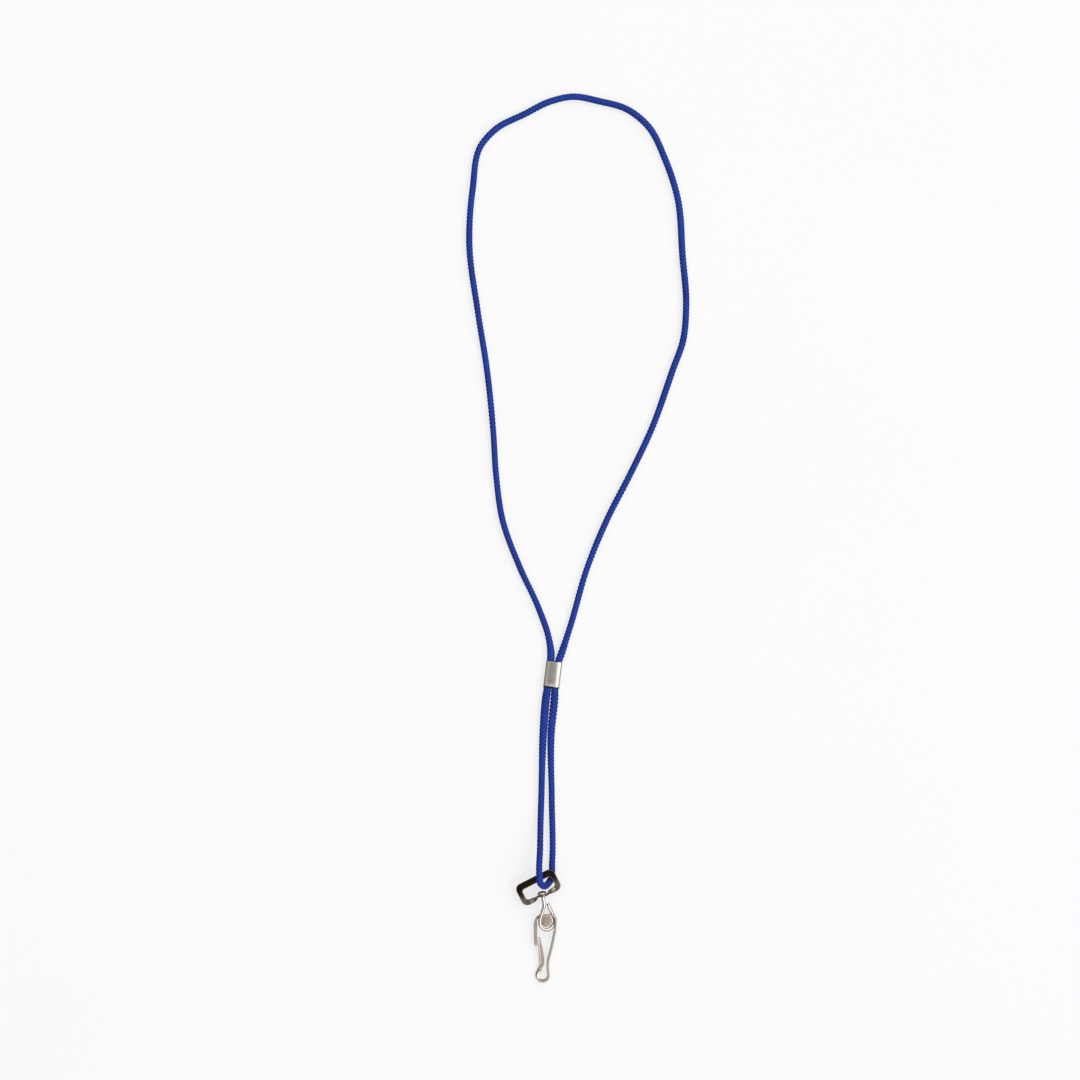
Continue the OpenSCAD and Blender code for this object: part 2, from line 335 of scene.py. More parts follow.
def table_material():
    """A white sheet lit from below, which leaves only faint shadows. Metal mirrors it darker."""
    material, nodes, links, shader = new_material("white_table")
    position = node(nodes, "ShaderNodeTexCoord").outputs["Object"]
    faint = noise(nodes, links, position, 6.0, 2.0)
    tone = mix_colour(nodes, links, faint, (0.245, 0.246, 0.25), (0.255, 0.256, 0.26))
    links.new(tone, shader.inputs["Base Color"])
    shader.inputs["Emission Color"].default_value = (1.0, 1.0, 1.0, 1)
    seen = node(nodes, "ShaderNodeLightPath").outputs["Is Camera Ray"]
    glow = map_range(nodes, links, seen, TABLE_GLOW_MIRRORED, TABLE_GLOW_SEEN)
    links.new(glow, shader.inputs["Emission Strength"])
    shader.inputs["Roughness"].default_value = 0.9
    shader.inputs["Specular IOR Level"].default_value = 0.1
    return material


# ---- camera, light and table ----

VIEW_CENTRE = (-19.8 * MM, -0.8 * MM)
VIEW_WIDTH = 561.6 * MM
LENS = 80.0
SENSOR = 36.0


def add_camera():
    data = bpy.data.cameras.new("camera")
    data.lens = LENS
    data.sensor_width = SENSOR
    data.dof.use_dof = False
    height = VIEW_WIDTH * LENS / SENSOR
    data.clip_start = 0.05
    data.clip_end = 20.0
    camera = bpy.data.objects.new("camera", data)
    camera.location = (*VIEW_CENTRE, height)
    bpy.context.scene.collection.objects.link(camera)
    bpy.context.scene.camera = camera


# Lamps: name, azimuth from +X and elevation in degrees, size in metres and power in watts
LAMPS = [
    ("key", -25, 52, 0.5, 3.0),
    ("far_side", 80, 60, 0.7, 3.0),
]
LAMP_REACH = 1.5


def add_lamp(name, azimuth, elevation, size, power):
    data = bpy.data.lights.new(name, "AREA")
    data.shape = "DISK"
    data.size = size
    data.energy = power
    data.color = (1.0, 0.985, 0.96)
    lamp = bpy.data.objects.new(name, data)
    a = math.radians(azimuth)
    e = math.radians(elevation)
    way = Vector((math.cos(a) * math.cos(e), math.sin(a) * math.cos(e), math.sin(e)))
    lamp.location = way * LAMP_REACH
    lamp.rotation_mode = "QUATERNION"
    lamp.rotation_quaternion = way.to_track_quat("Z", "Y")
    bpy.context.scene.collection.objects.link(lamp)


# Light tent, as seen by its height over the horizon: the sine of the elevation, and the share of
# full brightness there. Its roof has a dark round opening, so level metal mirrors black.
TENT = [
    (0.0, (0.16, 0.14, 0.12)),
    (0.24, (0.22, 0.20, 0.18)),
    (0.42, (0.95, 0.94, 0.93)),
    (0.82, (1.0, 0.99, 0.99)),
    (0.925, (0.04, 0.03, 0.025)),
    (1.0, (0.015, 0.012, 0.01)),
]
# Brightness of the tent's left and right walls
TENT_LEFT = 0.42
TENT_RIGHT = 2.2


def add_world():
    """A bright tent round the object; behind the table it is as pale as the table."""
    world = bpy.data.worlds.new("light_tent")
    bpy.context.scene.world = world
    world.use_nodes = True
    nodes = world.node_tree.nodes
    links = world.node_tree.links
    nodes.clear()
    way = node(nodes, "ShaderNodeSeparateXYZ")
    links.new(node(nodes, "ShaderNodeTexCoord").outputs["Generated"], way.inputs["Vector"])
    wall = node(nodes, "ShaderNodeValToRGB")
    stops = wall.color_ramp.elements
    while len(stops) < len(TENT):
        stops.new(1.0)
    for stop, (place, colour) in zip(stops, TENT):
        stop.position = place
        stop.color = (*colour, 1)
    links.new(way.outputs["Z"], wall.inputs["Fac"])
    tent = node(nodes, "ShaderNodeBackground")
    links.new(wall.outputs["Color"], tent.inputs["Color"])
    links.new(
        map_range(nodes, links, way.outputs["X"], TENT_LEFT, TENT_RIGHT, -1.0, 1.0), tent.inputs["Strength"]
    )
    backdrop = node(nodes, "ShaderNodeBackground")
    backdrop.inputs["Color"].default_value = (0.95, 0.95, 0.945, 1)
    path = node(nodes, "ShaderNodeLightPath")
    mix = node(nodes, "ShaderNodeMixShader")
    output = node(nodes, "ShaderNodeOutputWorld")
    links.new(path.outputs["Is Camera Ray"], mix.inputs["Fac"])
    links.new(tent.outputs["Background"], mix.inputs[1])
    links.new(backdrop.outputs["Background"], mix.inputs[2])
    links.new(mix.outputs["Shader"], output.inputs["Surface"])


def add_table():
    reach = 3.0
    corners = [(-reach, -reach, 0), (reach, -reach, 0), (reach, reach, 0), (-reach, reach, 0)]
    table = add_mesh("table", corners, [(0, 1, 2, 3)], table_material())


# ---- cord ----

CORD_D = 3.2 * MM
LIE = CORD_D / 2
HELD = 2.0 * MM
THIN = 3.0 * MM
FULL = CORD_D
# Centreline of the cord: x, y, z and local diameter. It starts in the middle of the sleeve, goes up
# the left strand, round the neck, down the right strand, through the sleeve and the ring, and back.
ROUTE = [
    (-0.0151, -0.0705, HELD, THIN),
    (-0.0143, -0.0638, HELD, THIN),
    (-0.0141, -0.0602, LIE, FULL),
    (-0.0152, -0.052, LIE, FULL),
    (-0.0202, -0.037, LIE, FULL),
    (-0.0307, -0.014, LIE, FULL),
    (-0.0391, 0.009, LIE, FULL),
    (-0.0426, 0.033, LIE, FULL),
    (-0.0441, 0.056, LIE, FULL),
    (-0.0474, 0.088, LIE, FULL),
    (-0.0522, 0.1185, LIE, FULL),
    (-0.0565, 0.153, LIE, FULL),
    (-0.0547, 0.182, LIE, FULL),
    (-0.0502, 0.2045, LIE, FULL),
    (-0.0429, 0.2125, LIE, FULL),
    (-0.0278, 0.2204, LIE, FULL),
    (-0.0143, 0.227, LIE, FULL),
    (-0.003, 0.2294, LIE, FULL),
    (0.0112, 0.227, LIE, FULL),
    (0.0255, 0.2228, LIE, FULL),
    (0.0359, 0.2146, LIE, FULL),
    (0.0453, 0.1966, LIE, FULL),
    (0.0515, 0.1775, LIE, FULL),
    (0.0542, 0.147, LIE, FULL),
    (0.0561, 0.12, LIE, FULL),
    (0.0544, 0.1025, LIE, FULL),
    (0.0493, 0.088, LIE, FULL),
    (0.038, 0.0565, LIE, FULL),
    (0.027, 0.0333, LIE, FULL),
    (0.0149, 0.0096, LIE, FULL),
    (0.0048, -0.015, LIE, FULL),
    (-0.0039, -0.045, LIE, FULL),
    (-0.009, -0.0606, LIE, FULL),
    (-0.0104, -0.0644, HELD, THIN),
    (-0.0121, -0.0778, HELD, THIN),
    (-0.0122, -0.0815, LIE, FULL),
    (-0.0139, -0.0995, LIE, FULL),
    (-0.0137, -0.135, LIE, FULL),
    (-0.0135, -0.168, LIE, FULL),
    (-0.0143, -0.1776, 0.0018, FULL),
    (-0.0172, -0.1802, 0.005, FULL),
    (-0.0198, -0.178, 0.0083, FULL),
    (-0.0202, -0.173, 0.0091, FULL),
    (-0.0198, -0.161, 0.0058, FULL),
    (-0.0195, -0.147, 0.0023, FULL),
    (-0.0191, -0.134, LIE, FULL),
    (-0.018, -0.0995, LIE, FULL),
    (-0.0165, -0.0815, LIE, FULL),
    (-0.0159, -0.0774, HELD, THIN),
    (-0.0151, -0.0708, HELD, THIN),
]
RING_STEP = 0.28 * MM
AROUND = 30
# Braid: eight yarns, four each way round, each passing over one and under one
CARRIERS = 4
LAY = 7.6 * MM
YARN_WIDTH = 1.04
YARN_RISE = 0.18 * MM
YARN_CROWN = 0.42 * MM
CORE_INSET = 0.02 * MM
# The strands spread where they are pressed flat: the place, the share of their width, and the
# distances from that place at which the spread starts to fade and is gone
SPREADS = [
    ((-0.0140, -0.0850), 0.24, 8 * MM, 38 * MM),
    ((-0.0120, -0.0640), 0.12, 3 * MM, 13 * MM),
]
# The fold round the ring's bar bulges inwards, by this share of the radius and over this distance
FOLD_AT = (-0.0172, -0.1775)
FOLD_BULGE = 0.25
FOLD_REACH = 9 * MM
# The cord is slimmest on the left of the neck loop: the size, length and start of that slow change
SWELL = 0.045
SWELL_LENGTH = 0.6
SLIMMEST = 0.12


def waver(along, *waves):
    """A sum of slow sines: each wave is its size, its length in mm and its phase."""
    return sum(size * np.sin(TAU * along / (length * MM) + phase) for size, length, phase in waves)


def braid(along, angle):
    """Height of the braid over its core, the yarn coordinates, and how deep the point lies, 0 to 1."""
    turned = angle + waver(along, (0.5, 233, 0.4), (0.3, 97, 2.1), (0.12, 31, 1.2))
    pulled = along + waver(along, (0.35 * MM, 61, 0.9), (0.12 * MM, 17, 2.6))
    share = CARRIERS * turned / TAU
    climb = CARRIERS * pulled / LAY
    right = share - climb
    left = share + climb
    right_yarn = np.round(right)
    left_yarn = np.round(left)
    across_right = right - right_yarn
    across_left = left - left_yarn

    def crown(across):
        return YARN_CROWN * (np.sqrt(np.clip(1 - (2 * across / YARN_WIDTH) ** 2, 0, 1)) - 1)

    rise_right = YARN_RISE * np.cos(math.pi * (right_yarn + left)) + crown(across_right)
    rise_left = -YARN_RISE * np.cos(math.pi * (right + left_yarn)) + crown(across_left)
    on_top = rise_right > rise_left
    height = np.where(on_top, rise_right, rise_left)
    across = np.where(on_top, across_right, across_left)
    runs = np.where(on_top, left, right)
    number = np.where(on_top, right_yarn % CARRIERS, left_yarn % CARRIERS + CARRIERS)
    relief = np.clip((height + YARN_CROWN * 0.75) / (YARN_CROWN * 0.75 + YARN_RISE), 0, 1)
    return height, np.stack([across, runs, number], axis=-1), relief


def make_cord():
    curve = hermite(ROUTE, 24)
    curve[:, 2] = np.maximum(curve[:, 2], curve[:, 3] / 2)
    samples, along = even_steps(curve, RING_STEP)
    centres = samples[:, :3]
    radius = samples[:, 3] / 2
    ways, ups = transport(centres, (0, 0, 1))
    sides = np.cross(ways, ups)
    angles = np.arange(AROUND) * TAU / AROUND
    grid_along, grid_angle = np.meshgrid(along, angles, indexing="ij")
    height, yarn, relief = braid(grid_along, grid_angle)
    swell = 1 - SWELL * np.cos(TAU * (along - SLIMMEST) / SWELL_LENGTH)
    swell += waver(along, (0.012, 71, 0.2), (0.01, 29, 1.7))
    reach = ((radius * swell)[:, None] - CORE_INSET + height)[..., None]
    spread = np.ones(len(centres))
    for place, share, full_to, gone_at in SPREADS:
        apart = np.linalg.norm(centres[:, :2] - place, axis=1)
        spread += share * (1 - smooth((apart - full_to) / (gone_at - full_to)))
    offsets = (
        reach * np.cos(grid_angle)[..., None] * sides[:, None]
        + reach * np.sin(grid_angle)[..., None] * ups[:, None]
    )
    level = np.cross(ways, (0, 0, 1))
    level /= np.linalg.norm(level, axis=1)[:, None]
    sideways = np.einsum("kac,kc->ka", offsets, level)
    folded = 1 - smooth(np.linalg.norm(centres[:, :2] - FOLD_AT, axis=1) / FOLD_REACH)
    widened = sideways * (spread - 1)[:, None] + np.maximum(sideways, 0) * FOLD_BULGE * folded[:, None]
    offsets += widened[..., None] * level[:, None]
    points = centres[:, None] + offsets
    points[..., 2] = np.maximum(points[..., 2], 0.0)
    flat = points.reshape(-1, 3)
    cord = add_mesh("braided_cord", flat, skin_faces(len(centres), AROUND), braid_material(), 180)
    mesh = cord.data
    mesh.attributes.new("yarn", "FLOAT_VECTOR", "POINT").data.foreach_set(
        "vector", yarn.astype(np.float32).ravel()
    )
    # How deep each point lies, from which the braid material paints shade in the gaps
    mesh.attributes.new("relief", "FLOAT", "POINT").data.foreach_set(
        "value", relief.astype(np.float32).ravel()
    )
    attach(cord, "cord_loop")
    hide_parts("cord")


# ---- crimp sleeve ----

SLEEVE_HALF_W = 4.15
SLEEVE_HALF_H = 2.0
SLEEVE_HALF_L = 7.1
SLEEVE_WALL = 0.5
SLEEVE_LEAN = 7.0
SLEEVE_LIP = 0.22
# Squareness of the flattened tube: the power of its outline
SLEEVE_POWER = 2 / 2.7
# The mouth at the low end: its crown and length, how deep and how far its lip rolls in, how far the
# crown is drawn back, and where its rim of painted shade starts and over what length it fades in
MOUTH_CROWN = 0.35
MOUTH_LENGTH = 3.2
ROLL_DEPTH = 0.45
ROLL_LENGTH = 0.95
DRAWN_BACK = 0.55
DRAWN_LENGTH = 0.9
SHADE_RIM_LENGTH = 1.3
SHADE_RIM_FADE = 0.25
# The crown and length of the mouth at the high end, and how much both mouths flare
HIGH_CROWN = 0.12
HIGH_LENGTH = 2.0
FLARE = 0.012


def sleeve_placement():
    low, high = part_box("crimp_sleeve")
    lean = math.radians(SLEEVE_LEAN)
    y = (math.sin(lean), math.cos(lean), 0)
    x = (math.cos(lean), -math.sin(lean), 0)
    return Placement((np.array(low) + np.array(high)) / 2, x, y, (0, 0, 1))


def sleeve_outline(offset, around=96):
    """Points of the flattened tube's outline, moved outwards by offset."""
    angles = np.arange(around) * TAU / around
    half_w = SLEEVE_HALF_W + offset
    half_h = SLEEVE_HALF_H + offset
    x = half_w * np.sign(np.cos(angles)) * np.abs(np.cos(angles)) ** (0.9 * SLEEVE_POWER + 0.1)
    z = half_h * np.sign(np.sin(angles)) * np.abs(np.sin(angles)) ** SLEEVE_POWER
    return x, z


def make_sleeve(material):
    place = sleeve_placement()
    straight = SLEEVE_HALF_L - SLEEVE_LIP
    outer = [(t * straight, 0.0) for t in np.linspace(-1, 1, 41)]
    wall_mid = -SLEEVE_WALL / 2
    half_wall = SLEEVE_WALL / 2
    top_lip = [(straight + SLEEVE_LIP * math.sin(a), wall_mid + half_wall * math.cos(a))
               for a in np.linspace(0, math.pi, 9)[1:-1]]
    inner = [(y, -SLEEVE_WALL) for y, _ in reversed(outer)]
    low_lip = [(-y, wall_mid * 2 - o) for y, o in top_lip]
    profile = outer + top_lip + inner + low_lip
    points = []
    painted_shade = []
    for k, (y, offset) in enumerate(profile):
        x, z = sleeve_outline(offset)
        from_low = y + SLEEVE_HALF_L
        near_low = smooth((MOUTH_LENGTH - from_low) / MOUTH_LENGTH)
        near_high = smooth((y - SLEEVE_HALF_L + HIGH_LENGTH) / HIGH_LENGTH)
        crown = (1 - (x / SLEEVE_HALF_W) ** 2) * (z > 0)
        z = z + crown * (MOUTH_CROWN * near_low + HIGH_CROWN * near_high)
        z = z - ROLL_DEPTH * crown * smooth((ROLL_LENGTH - from_low) / ROLL_LENGTH) ** 1.3
        x = x * (1 + FLARE * (near_low + near_high))
        ys = y + DRAWN_BACK * crown * smooth((DRAWN_LENGTH - from_low) / DRAWN_LENGTH)
        points.extend(place.point(p) for p in np.stack([x, ys, z], axis=1))
        # Painted shade: a dark rim across the crown of the low mouth, and all of the inner wall and lips dark
        mouth = smooth((SHADE_RIM_LENGTH - from_low) / SHADE_RIM_FADE) * smooth(3 * crown)
        painted_shade.extend(mouth if k < len(outer) else np.ones_like(x))
    around = len(points) // len(profile)
    sleeve = add_mesh("crimped_sleeve", points, skin_faces(len(profile), around, closed=True), material, 50)
    sleeve.data.attributes.new("painted_shade", "FLOAT", "POINT").data.foreach_set("value", np.float32(painted_shade))
    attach(sleeve, "cord_loop")
    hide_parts("crimp_sleeve")


# ---- swivel ring ----

RING_HALF_W = 11.05
TOP_W = 3.5
SIDE_W = 2.75
STRIP_W = 2.6
STRIP_HALF_T = 0.55
CORNER_OUT = 3.2
CORNER_IN = 1.4
PAD_TURN = 16.9
# How far the lower corners bend down out of the ring's plane, and where that starts and ends, first
# downwards from the top bar and then sideways from the middle
CORNER_SAG = 0.34
SAG_FROM = 3.5
SAG_TO = 10.0
SAG_INSIDE = 5.0
SAG_OUTSIDE = 9.0
# The twisted bar: half of its flat pad, where its twist ends, how fast it turns, and the length over
# which the pad's lean fades
PAD_HALF = 1.6
TWIST_END = 7.4
TWIST_POWER = 0.85
LEAN_FADE = 2.4
BOSS_R = 1.7
PIN_HOLE_R = 0.92
EDGE = 0.22


def ring_placement():
    swing = joints["ring_swing"]
    bar = np.array(swing["pos_m"])
    pin = np.array(joints["swivel_spin"]["pos_m"])
    x = -unit(swing["axis"])
    y = unit(bar - pin)
    return Placement(bar, x, y, np.cross(x, y)), float(np.linalg.norm(bar - pin)) / MM


def ring_wear():
    """The ring is rubbed dull towards its lower bar: the way, where that starts and ends, and how dull."""
    ring, pitch = ring_placement()
    way = -ring.axes[1]
    bar = float(ring.origin @ way)
    return way.tolist(), bar + 0.35 * pitch * MM, bar + 1.0 * pitch * MM, 0.2


def pin_placement():
    ring, _ = ring_placement()
    spin = joints["swivel_spin"]
    y = unit(spin["axis"])
    z = ring.axes[2]
    return Placement(spin["pos_m"], np.cross(y, z), y, z)


def corner_sag(x, y):
    """How far the ring's lower corners bend out of its plane at a place."""
    sideways = smooth((abs(x) - SAG_INSIDE) / (SAG_OUTSIDE - SAG_INSIDE))
    return -CORNER_SAG * sideways * smooth((-y - SAG_FROM) / (SAG_TO - SAG_FROM))


def make_ring(material):
    place, pitch = ring_placement()
    out_top = TOP_W / 2
    out_low = -pitch - STRIP_W / 2
    in_top = -TOP_W / 2
    in_low = -pitch + STRIP_W / 2
    in_half_w = RING_HALF_W - SIDE_W
    mid_y = (in_top + in_low) / 2
    stations = []

    def flat(outer, inner):
        outer = np.array([*outer, 0.0])
        inner = np.array([*inner, 0.0])
        middle_x = (outer[0] + inner[0]) / 2
        for point in (outer, inner):
            point[2] = corner_sag(middle_x, point[1])
        across = outer - inner
        centre = (outer + inner) / 2
        along = np.cross(across, (0, 0, 1))
        up = np.cross(along, across)
        stations.append((centre, across, up, np.linalg.norm(across) / 2, STRIP_HALF_T, EDGE, 0.0))

    def corner(sx, sy, start):
        out_at = (sx * (RING_HALF_W - CORNER_OUT), (out_top if sy > 0 else out_low) - sy * CORNER_OUT)
        in_at = (sx * (in_half_w - CORNER_IN), (in_top if sy > 0 else in_low) - sy * CORNER_IN)
        for a in np.radians(np.linspace(start, start + 90, 12)):
            turned = np.array((math.cos(a), math.sin(a)))
            flat(out_at + CORNER_OUT * turned, in_at + CORNER_IN * turned)

    flat((RING_HALF_W, mid_y), (in_half_w, mid_y))
    corner(1, 1, 0)
    for x in np.linspace(5, -5, 9):
        flat((x, out_top), (x, in_top))
    corner(-1, 1, 90)
    flat((-RING_HALF_W, mid_y), (-in_half_w, mid_y))
    corner(-1, -1, 180)
    turn = math.radians(PAD_TURN)
    for x in np.linspace(-TWIST_END, TWIST_END, 51):
        flat_share = np.clip((abs(x) - PAD_HALF) / (TWIST_END - PAD_HALF), 0, 1) ** TWIST_POWER
        twist = math.pi / 2 * (1 - flat_share)
        swing = turn * (1 - flat_share)
        forward = np.array([math.cos(swing), -math.sin(swing), 0])
        outward = np.array([-math.sin(swing), -math.cos(swing), 0])
        across = math.cos(twist) * outward + math.sin(twist) * np.array([0, 0, -1])
        up = np.cross(forward, across)
        y = -pitch - math.tan(turn) * x * (1 - smooth((abs(x) - PAD_HALF) / LEAN_FADE))
        boss = math.sqrt(max(BOSS_R**2 - (x / math.cos(turn)) ** 2, 0))
        half_w = max(STRIP_W / 2, boss)
        stations.append(((x, y, corner_sag(x, y)), across, -up, half_w, STRIP_HALF_T, EDGE, 0.0))
    corner(1, -1, 270)
    rings = strip_rings(place, stations)
    ring = add_mesh("strip_ring", rings, skin_faces(len(stations), SECTION_POINTS, closed=True), material, 40)
    bore(ring, pin_placement())
    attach(ring, "ring")
    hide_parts("swivel_ring")


def bore(ring, pin):
    """Cuts the pin's round hole through the pad."""
    around = 32
    points = []
    for y in (-2.0, 2.0):
        for a in np.arange(around) * TAU / around:
            points.append(pin.point((PIN_HOLE_R * math.cos(a), y, -PIN_HOLE_R * math.sin(a))))
    drill = add_mesh("drill", points, skin_faces(2, around), ring.data.materials[0])
    cut = ring.modifiers.new("pin_hole", "BOOLEAN")
    cut.operation = "DIFFERENCE"
    cut.solver = "EXACT"
    cut.object = drill
    bpy.ops.object.select_all(action="DESELECT")
    bpy.context.view_layer.objects.active = ring
    ring.select_set(True)
    bpy.ops.object.modifier_apply(modifier=cut.name)
    bpy.data.objects.remove(drill)


# ---- swivel eye ----

WIRE_R = 0.85
EYE_TILT = 29.4
HEAD_R = 2.35
HEAD_BASE = 0.85
# Outline of the domed head: its radius and the height over its base, from the pin outwards and over
HEAD_PROFILE = [
    (0.84, 0.0),
    (1.7, 0.0),
    (2.05, 0.04),
    (2.28, 0.2),
    (HEAD_R, 0.45),
    (2.3, 0.7),
    (2.1, 0.95),
    (1.7, 1.18),
    (1.1, 1.32),
    (0.5, 1.38),
    (0.02, 1.4),
]
# The swaged head sits a little off the pin's axis
HEAD_SHIFT = -0.2
NECK_Y = -5.4
BOWL_R = 4.45
BOWL_Y = -13.7
CUT_AT = (2.2, -5.3)


def eye_placement():
    pin = pin_placement()
    tilt = math.radians(EYE_TILT)
    x = pin.way((math.cos(tilt), 0, -math.sin(tilt)))
    z = pin.way((math.sin(tilt), 0, math.cos(tilt)))
    return Placement(pin.origin, x, pin.axes[1], z)


def tangent_angle(point, side):
    way = np.array(point) - np.array((0, BOWL_Y))
    return math.atan2(way[1], way[0]) + side * math.acos(BOWL_R / np.linalg.norm(way))


def eye_path():
    """Centreline of the wire in the eye's plane, from under the head round the bowl to its cut end."""
    left = tangent_angle((0, NECK_Y), 1)
    right = tangent_angle(CUT_AT, -1) + TAU
    bowl = [(BOWL_R * math.cos(a), BOWL_Y + BOWL_R * math.sin(a)) for a in np.linspace(left, right, 60)]
    leg_start = np.array((0, NECK_Y))
    leg_end = np.array(bowl[0])
    leg = unit(leg_end - leg_start)
    bend = 1.3
    neck = []
    for t in np.linspace(0, 1, 10):
        above = leg_start + (0, bend)
        below = leg_start + leg * bend
        neck.append((1 - t) ** 2 * above + 2 * t * (1 - t) * leg_start + t * t * below)
    shank = [(0, y) for y in np.linspace(HEAD_BASE + 0.3, NECK_Y + bend, 14)[:-1]]
    left_leg = [leg_start + (leg_end - leg_start) * t for t in np.linspace(0.3, 0.95, 8)]
    bowl_end = np.array(bowl[-1])
    right_leg = [bowl_end + (np.array(CUT_AT) - bowl_end) * t for t in np.linspace(0.05, 1, 12)]
    return np.array(shank + neck + left_leg + bowl + right_leg)


def make_eye(material):
    place = eye_placement()
    path = eye_path()
    ways = np.gradient(path, axis=0)
    ways = ways / np.linalg.norm(ways, axis=1)[:, None]
    around = 24
    points = []
    rings = 0

    def ring_at(centre, way, r):
        side = np.array([-way[1], way[0], 0])
        for a in np.arange(around) * TAU / around:
            local = np.array([*centre, 0]) + r * (math.cos(a) * side + math.sin(a) * np.array([0, 0, 1]))
            points.append(place.point(local))

    for centre, way in zip(path, ways):
        ring_at(centre, way, WIRE_R)
        rings += 1
    for step, r in ((0.06, 0.82), (0.1, 0.74)):
        ring_at(path[-1] + ways[-1] * step, ways[-1], r)
        rings += 1
    faces = skin_faces(rings, around)
    profile = [(r, HEAD_BASE + rise) for r, rise in HEAD_PROFILE]
    head_around = 48
    start = len(points)
    for r, y in profile:
        for a in np.arange(head_around) * TAU / head_around:
            points.append(place.point((HEAD_SHIFT * min(r / 2, 1) + r * math.cos(a), y, -r * math.sin(a))))
    faces += [tuple(start + i for i in f) for f in skin_faces(len(profile), head_around)]
    eye = add_mesh("headed_wire_eye", points, faces, material, 50)
    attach(eye, "eye")
    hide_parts("swivel_eye")


# ---- hook ----

HOOK_HALF_T = 0.7
HOOK_HALF_W = 1.075
ARCH_HALF_W = 0.62
FLAT_HALF_T = 0.55
DISC_R = 3.2
DISC_EDGE = 0.6
ARCH_TOP = 2.85
ARCH_RIGHT_R = 2.3
ARCH_LEFT_R = 3.4
TOE_AT = np.array((-2.2, -28.6))
TOE_R = 2.95
TOE_SWEEP = 208
# How far the strip has untwisted at the toe's left end, in degrees
TOE_UNTWIST = 25
# Centreline points in the hook's plane. Those of the finger and the tongue have half widths
ARM = [
    (4.5, 0.55),
    (4.48, -2.5),
    (4.25, -4.4),
    (3.9, -6.2),
    (2.9, -11.3),
    (1.4, -17.5),
    (0.55, -21.1),
    (0.4, -23.5),
    (0.75, -28.6),
]
FINGER = [
    (-5.7, -12.2, 0.95),
    (-5.9, -8.0, 0.97),
    (-6.0, -3.0, 0.95),
    (-6.05, -0.9, 0.85),
    (-5.9, 0.1, 0.6),
]
TONGUE = [
    (-3.3, -23.9, 1.05),
    (-2.95, -23.0, 1.2),
    (-2.75, -21.1, 1.35),
    (-2.85, -18.9, 1.35),
    (-3.1, -16.9, 1.25),
    (-3.4, -15.0, 1.15),
    (-3.7, -13.0, 1.05),
    (-3.85, -11.0, 0.85),
    (-4.1, -9.2, 0.68),
]


def hook_placement():
    swing = joints["hook_swing"]
    x = np.array((1.0, 0, 0))
    z = unit(swing["axis"])
    return Placement(swing["pos_m"], x, np.cross(z, x), z)


def rounded_end(stations, length, way, steps=6):
    """Stations that close a strip with a round end beyond its last one."""
    centre, across, up, half_w, half_t, edge, dish = stations[-1]
    extra = []
    for a in np.linspace(0, 85, steps)[1:]:
        s = math.sin(math.radians(a))
        c = math.cos(math.radians(a))
        wide = max(half_w * c, 0.12)
        thick = half_t * (0.55 + 0.45 * c)
        extra.append((np.asarray(centre) + np.asarray(way) * length * s, across, up, wide, thick,
                      min(edge, wide * 0.6, thick * 0.6), dish * c))
    return extra


def plane_stations(path, half_w, half_t, twist, edge, dish):
    """Stations along a path in the plane. twist is 0 face on and 90 on edge."""
    ways = np.gradient(path, axis=0)
    stations = []
    for k, centre in enumerate(path):
        way = unit([*ways[k], 0])
        normal = np.array([way[1], -way[0], 0])
        a = math.radians(twist[k])
        across = math.cos(a) * normal + math.sin(a) * np.array([0, 0, 1])
        up = -math.sin(a) * normal + math.cos(a) * np.array([0, 0, 1])
        stations.append(((*centre, 0), across, up, half_w[k], half_t[k], edge[k], dish[k]))
    return stations


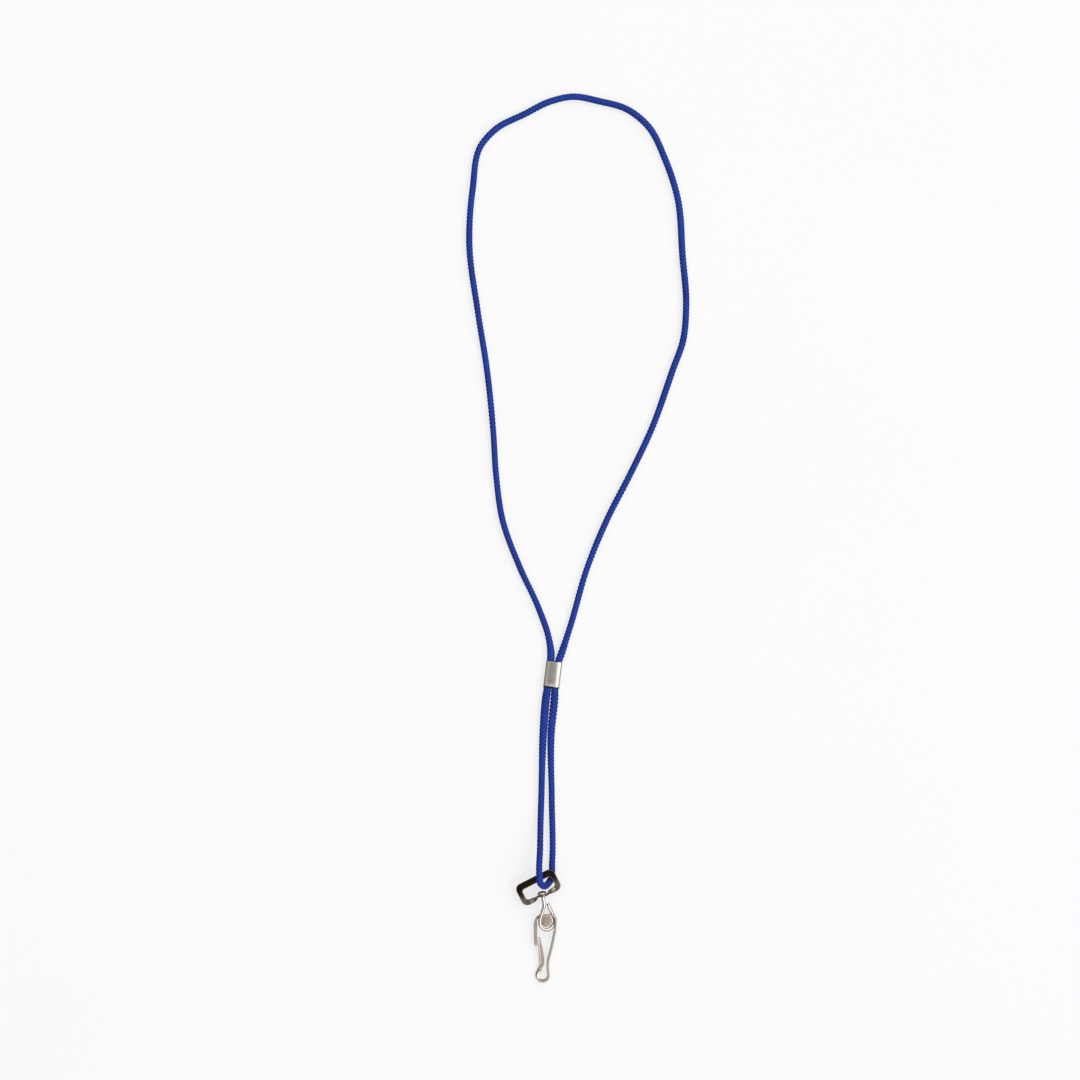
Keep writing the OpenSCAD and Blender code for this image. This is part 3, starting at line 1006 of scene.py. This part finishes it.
def make_hook(material):
    place = hook_placement()
    arch_left = np.array((FINGER[-1][0] + ARCH_LEFT_R, ARCH_TOP - ARCH_LEFT_R))
    arch_right = np.array((ARM[0][0] - ARCH_RIGHT_R, ARCH_TOP - ARCH_RIGHT_R))
    finger = hermite(FINGER, 8)
    sweep = [arch_left + ARCH_LEFT_R * np.array((math.cos(a), math.sin(a)))
             for a in np.radians(np.linspace(168, 90, 14))]
    top = [(x, ARCH_TOP) for x in np.linspace(arch_left[0], arch_right[0], 8)[1:-1]]
    turn = [arch_right + ARCH_RIGHT_R * np.array((math.cos(a), math.sin(a)))
            for a in np.radians(np.linspace(90, 0, 12))]
    arm = hermite(ARM, 8)[1:]
    toe = [TOE_AT + TOE_R * np.array((math.cos(a), math.sin(a)))
           for a in np.radians(np.linspace(0, -TOE_SWEEP, 48)[1:])]
    path = np.concatenate([finger[:, :2], sweep, top, turn, arm, toe])
    counts = np.cumsum([len(finger), len(sweep), len(top), len(turn), len(arm), len(toe)])
    half_w = []
    half_t = []
    twist = []
    for k, (x, y) in enumerate(path):
        if k < counts[0]:
            facts = (finger[k, 2], FLAT_HALF_T, 0.0)
        elif k < counts[1]:
            share = (k - counts[0] + 1) / len(sweep)
            facts = (0.6, FLAT_HALF_T, 90.0 * smooth(share * 1.3))
        elif k < counts[3]:
            facts = (ARCH_HALF_W, FLAT_HALF_T, 90.0)
        elif k < counts[4]:
            wide = smooth((ARM[1][1] - y) / 3.0)
            width = ARCH_HALF_W + (HOOK_HALF_W - ARCH_HALF_W) * wide
            facts = (width, FLAT_HALF_T + (HOOK_HALF_T - FLAT_HALF_T) * wide, 90.0)
        else:
            share = (k - counts[4] + 1) / len(toe)
            facts = (HOOK_HALF_W, HOOK_HALF_T, 90.0 - TOE_UNTWIST * smooth(2 * share - 1))
        for values, fact in zip((half_w, half_t, twist), facts):
            values.append(fact)
    edges = [0.2] * len(path)
    dishes = [0.0] * len(path)
    stations = plane_stations(path, half_w, half_t, twist, edges, dishes)
    start_way = np.array([*unit(path[0] - path[1]), 0])
    tip = rounded_end([stations[0]], 0.95, start_way)
    stations = list(reversed(tip)) + stations
    points = strip_rings(place, stations)
    faces = skin_faces(len(stations), SECTION_POINTS)
    hook = add_mesh("hook_strip", points, faces, material, 40)
    add_disc(hook, place)
    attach(hook, "hook")
    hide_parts("hook_body")


def add_disc(hook, place):
    """The coined disc inside the eye, joined to the arch over it."""
    flat_r = DISC_R - DISC_EDGE
    profile = [(0.01, FLAT_HALF_T), (0.5 * flat_r, FLAT_HALF_T)]
    for a in np.radians(np.linspace(90, -90, 11)):
        profile.append((flat_r + DISC_EDGE * math.cos(a), FLAT_HALF_T * math.sin(a)))
    profile.append((0.01, -FLAT_HALF_T))
    around = 64
    points = []
    for r, z in profile:
        for a in np.arange(around) * TAU / around:
            points.append(place.point((r * math.cos(a), r * math.sin(a), z)))
    disc = add_mesh("disc", points, [tuple(reversed(f)) for f in skin_faces(len(profile), around)],
                    hook.data.materials[0], 40)
    join_into(hook, disc)


def join_into(piece, other):
    bpy.ops.object.select_all(action="DESELECT")
    other.select_set(True)
    piece.select_set(True)
    bpy.context.view_layer.objects.active = piece
    bpy.ops.object.join()


def make_tongue(material):
    place = hook_placement()
    end = math.radians(-TOE_SWEEP)
    root = TOE_AT + TOE_R * np.array((math.cos(end), math.sin(end)))
    away = np.array((math.sin(end), -math.cos(end)))
    line = [(*root, HOOK_HALF_W), (*(root + away * 0.8), 1.06)] + TONGUE
    path = hermite(line, 10)
    gone = np.concatenate([[0], np.cumsum(np.linalg.norm(np.diff(path[:, :2], axis=0), axis=1))])
    untwist = smooth((gone - 0.5) / 3.6)
    twist = (90 - TOE_UNTWIST) * (1 - untwist)
    count = len(path)
    half_t = FLAT_HALF_T + (HOOK_HALF_T - FLAT_HALF_T) * (1 - untwist)
    stations = plane_stations(path[:, :2], path[:, 2], half_t, twist, [0.2] * count,
                              0.12 * smooth((gone - 3.0) / 3.0))
    way = np.array([*unit(path[-1, :2] - path[-2, :2]), 0])
    stations += rounded_end(stations, 0.6, way)
    points = strip_rings(place, stations)
    tongue = add_mesh("hook_tongue", points, skin_faces(len(stations), SECTION_POINTS), material, 40)
    start = place.point((*root, 0))
    stop = place.point((*(root + away * 3.0), 0))
    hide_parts("hook_gate")
    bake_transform(tongue)


# ---- the whole scene ----

add_camera()
make_cord()
add_world()
for lamp_facts in LAMPS:
    add_lamp(*lamp_facts)
add_table()

make_sleeve(nickel_material("sleeve_nickel", (0.66, 0.635, 0.585), (0.58, 0.555, 0.505), (0.37, 0.44),
                            (900.0, 90.0, 900.0), 0.004))
make_ring(nickel_material("ring_nickel", (0.25, 0.21, 0.17), (0.19, 0.155, 0.125), (0.10, 0.16),
                          (500.0, 500.0, 500.0), 0.003, ring_wear()))
make_eye(nickel_material("wire_nickel", (0.70, 0.63, 0.59), (0.58, 0.51, 0.47), (0.16, 0.24),
                         (700.0, 700.0, 700.0), 0.004))
hook_nickel = nickel_material("hook_nickel", (0.72, 0.64, 0.57), (0.62, 0.54, 0.47), (0.36, 0.46),
                              (700.0, 700.0, 700.0), 0.006)
make_hook(hook_nickel)
make_tongue(hook_nickel)

bpy.context.scene.view_settings.view_transform = "Standard"
